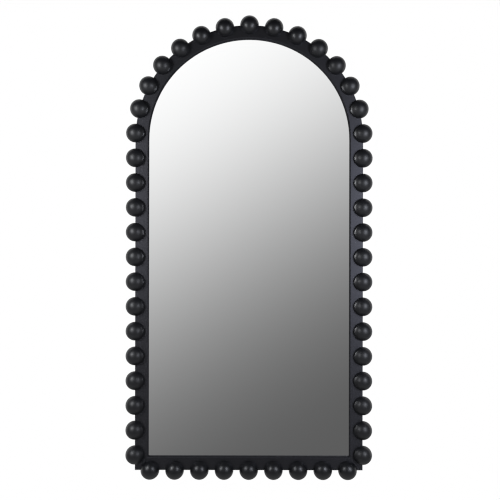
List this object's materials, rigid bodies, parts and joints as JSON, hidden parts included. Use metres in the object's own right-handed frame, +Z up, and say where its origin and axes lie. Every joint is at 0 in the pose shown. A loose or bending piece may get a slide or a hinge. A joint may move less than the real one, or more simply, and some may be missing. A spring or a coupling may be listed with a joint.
{
  "type": "arched wall mirror",
  "caption": "Tall arched wall mirror in a flat black frame whose outer edge is set with evenly spaced black balls; hangs from swinging rings on the back.",
  "frame": {"origin": "on the wall plane, midway between the pivots of the two hanging rings", "axes": "+X to the viewer's right, +Y from the viewer into the wall, +Z up to the crown"},
  "size_m": [0.66, 0.056, 1.242],
  "materials": {
    "painted_frame": "satin black paint",
    "painted_balls": "satin black paint",
    "mirror": "polished, silvered",
    "hardboard": "smooth hardboard",
    "beech": "raw",
    "zinc_steel": "zinc plated",
    "rubber": "matt"
  },
  "bodies": {
    "mirror": {"arched_frame": "painted_frame", "backing_board": "hardboard", "ball_bottom_01": "painted_balls", "ball_bottom_02": "painted_balls", "ball_bottom_03": "painted_balls", "ball_bottom_04": "painted_balls", "ball_bottom_05": "painted_balls", "ball_bottom_06": "painted_balls", "ball_bottom_07": "painted_balls", "ball_bottom_08": "painted_balls", "ball_bottom_09": "painted_balls", "ball_crown": "painted_balls", "ball_left_01": "painted_balls", "ball_left_02": "painted_balls", "ball_left_03": "painted_balls", "ball_left_04": "painted_balls", "ball_left_05": "painted_balls", "ball_left_06": "painted_balls", "ball_left_07": "painted_balls", "ball_left_08": "painted_balls", "ball_left_09": "painted_balls", "ball_left_10": "painted_balls", "ball_left_11": "painted_balls", "ball_left_12": "painted_balls", "ball_left_13": "painted_balls", "ball_left_14": "painted_balls", "ball_left_15": "painted_balls", "ball_left_16": "painted_balls", "ball_left_17": "painted_balls", "ball_left_18": "painted_balls", "ball_left_19": "painted_balls", "ball_left_20": "painted_balls", "ball_right_01": "painted_balls", "ball_right_02": "painted_balls", "ball_right_03": "painted_balls", "ball_right_04": "painted_balls", "ball_right_05": "painted_balls", "ball_right_06": "painted_balls", "ball_right_07": "painted_balls", "ball_right_08": "painted_balls", "ball_right_09": "painted_balls", "ball_right_10": "painted_balls", "ball_right_11": "painted_balls", "ball_right_12": "painted_balls", "ball_right_13": "painted_balls", "ball_right_14": "painted_balls", "ball_right_15": "painted_balls", "ball_right_16": "painted_balls", "ball_right_17": "painted_balls", "ball_right_18": "painted_balls", "ball_right_19": "painted_balls", "ball_right_20": "painted_balls", "bottom_rail": "painted_frame", "bumpers": "rubber", "dowels": "beech", "hanger_straps": "zinc_steel", "mirror_glass": "mirror", "screws": "zinc_steel"},
    "ring_left": {"ring_left": "zinc_steel"},
    "ring_right": {"ring_right": "zinc_steel"}
  },
  "joints": [
    {"name": "ring_left_swing", "type": "hinge", "parent": "mirror", "child": "ring_left", "pos_m": [-0.2945, -0.00364, 0], "axis": [-1, 0, 0], "range_deg": [0, 174]},
    {"name": "ring_right_swing", "type": "hinge", "parent": "mirror", "child": "ring_right", "pos_m": [0.2945, -0.00364, 0], "axis": [-1, 0, 0], "range_deg": [0, 174]}
  ]
}
